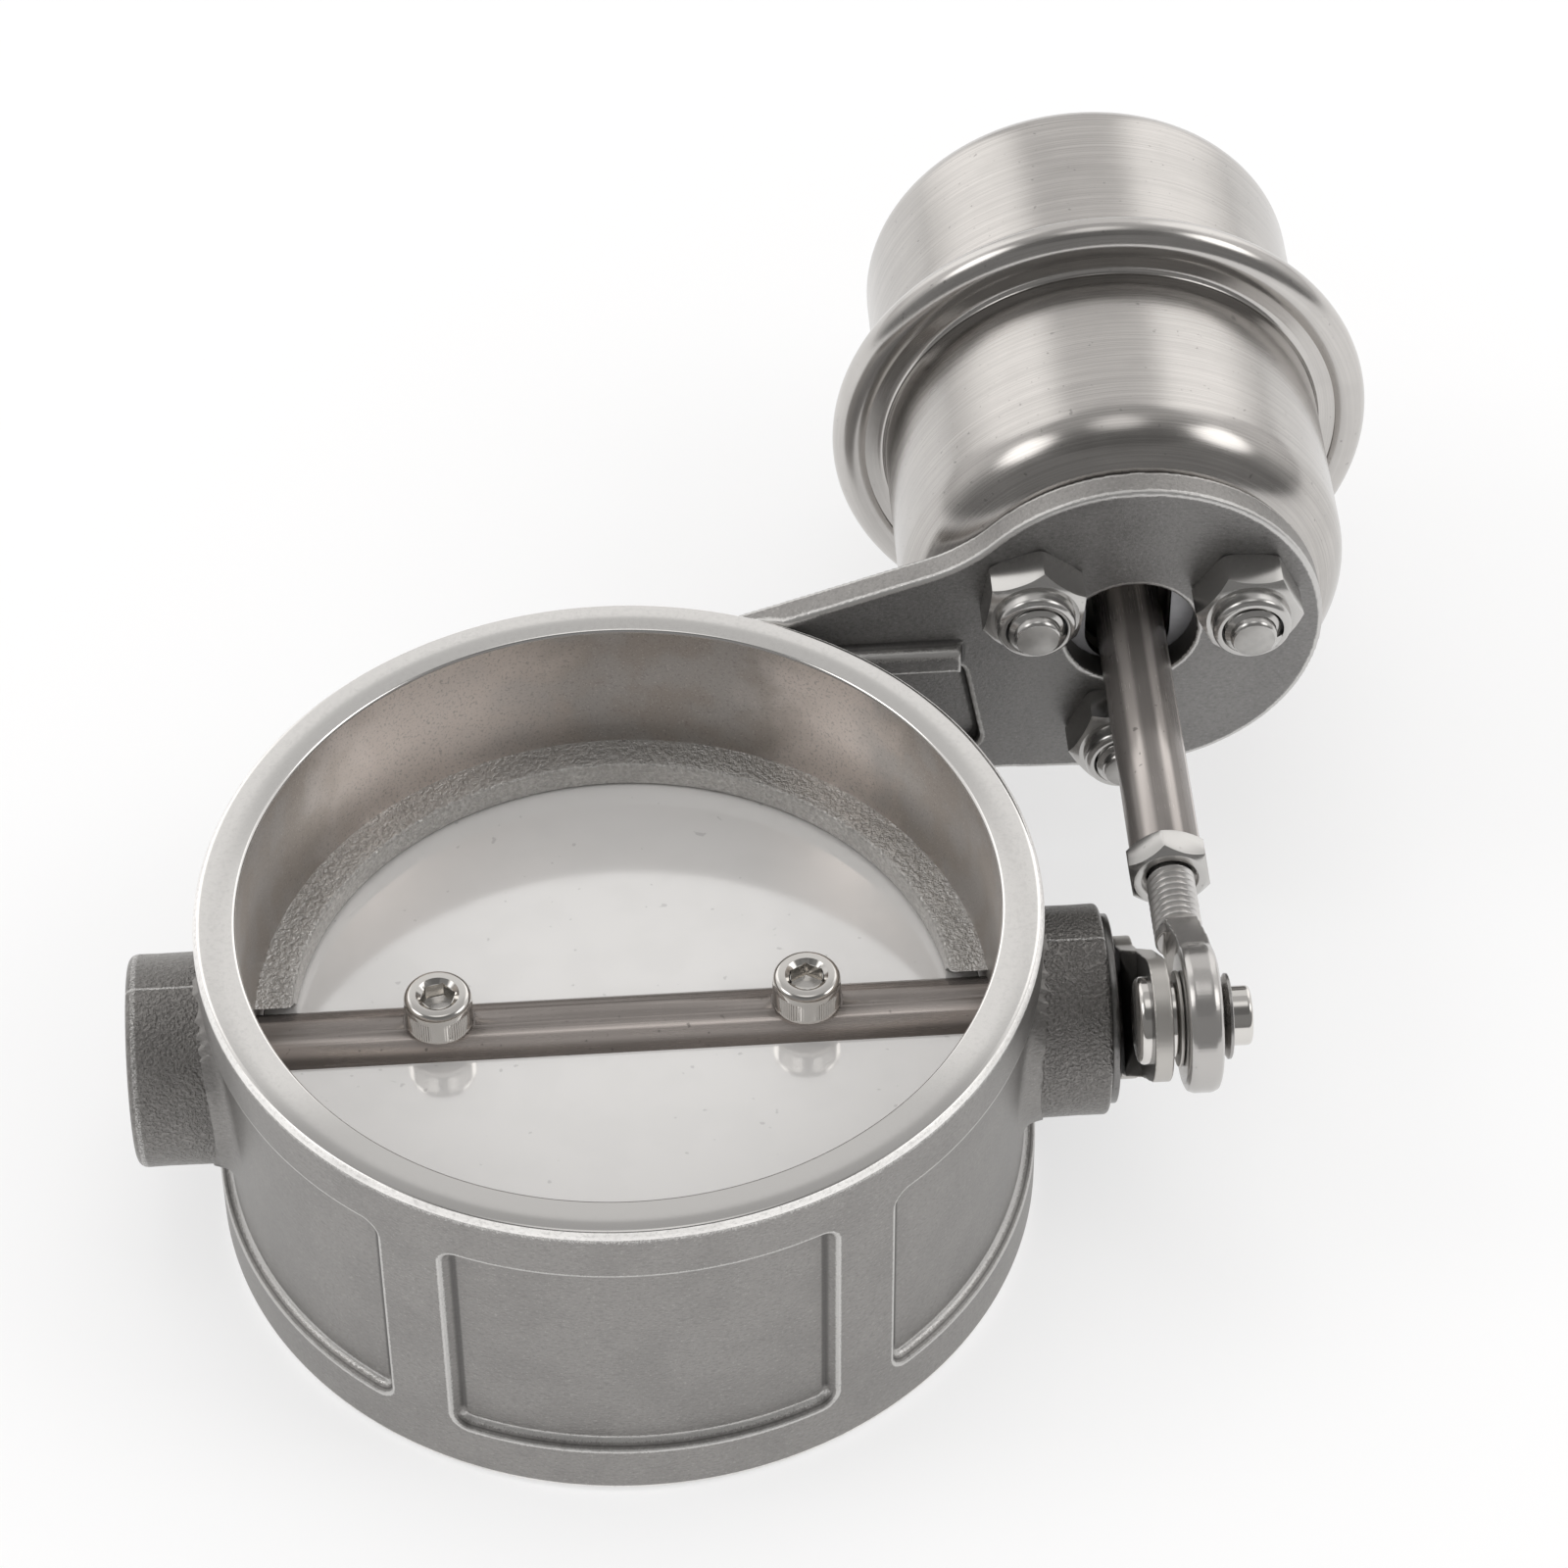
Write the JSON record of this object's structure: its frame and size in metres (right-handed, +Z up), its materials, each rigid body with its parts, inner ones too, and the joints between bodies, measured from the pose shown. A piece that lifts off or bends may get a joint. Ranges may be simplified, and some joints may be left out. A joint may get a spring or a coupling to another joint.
{
  "type": "exhaust cutout valve",
  "caption": "Exhaust cutout valve: short pipe ring with a round plate on a cross shaft, turned by a lever and rod from a vacuum canister on a side bracket.",
  "frame": {"origin": "centre of the ring's bottom face, on the duct's axis, at the mouth of the lower socket", "axes": "+Z up the duct's axis, +X along the shaft towards the lever, +Y along the actuator rod towards the vacuum nipple"},
  "size_m": [0.1355, 0.1526, 0.0662],
  "materials": {
    "cast_steel": "investment cast stainless steel, satin, rims machined",
    "bush": "sintered bronze, plain",
    "graphite": "pressed graphite, matte",
    "dark_steel": "drawn bar, warm dark satin",
    "polished_steel": "near mirror polish",
    "bright_steel": "bright stainless steel",
    "strip_steel": "stainless strip, satin",
    "canister": "polished stainless sheet, turned marks round it",
    "rubber": "silicone rubber, matte",
    "spring_steel": "spring wire"
  },
  "bodies": {
    "housing": {"valve_ring": "cast_steel", "canister_bracket": "cast_steel", "blind_side_bush": "bush", "drive_side_bush": "bush", "shaft_seal": "graphite", "seal_cover": "cast_steel", "front_shell": "canister", "rear_shell": "canister", "vacuum_nipple": "strip_steel", "stud_plate": "strip_steel", "mounting_studs": "bright_steel", "lock_nuts": "bright_steel", "nut_inserts": "graphite", "diaphragm": "rubber", "return_spring": "spring_steel"},
    "shaft": {"valve_shaft": "dark_steel", "butterfly_plate": "polished_steel", "plate_screws": "bright_steel", "crank_lever": "strip_steel", "crank_pin": "bright_steel", "pin_washer": "strip_steel", "pin_clip": "strip_steel"},
    "rod": {"rod_end": "bright_steel", "jam_nut": "bright_steel", "actuator_rod": "dark_steel", "piston_cup": "strip_steel", "clamp_disc": "strip_steel", "piston_nut": "bright_steel"}
  },
  "joints": [
    {"name": "shaft_turn", "type": "hinge", "parent": "housing", "child": "shaft", "pos_m": [0, 0, 0.02035], "axis": [-1, 0, 0], "range_deg": [0, 90], "stiffness_Nm_per_rad": 0.3, "springref_deg": -68.75, "deforming": ["diaphragm", "return_spring"]},
    {"name": "rod_pivot", "type": "hinge", "parent": "shaft", "child": "rod", "pos_m": [0.057, -0.01365, 0.034], "axis": [-1, 0, 0], "range_deg": [-90, 0]}
  ],
  "couplings": [
    {"joint": "rod_pivot", "follows": "shaft_turn", "ratio": -1}
  ]
}
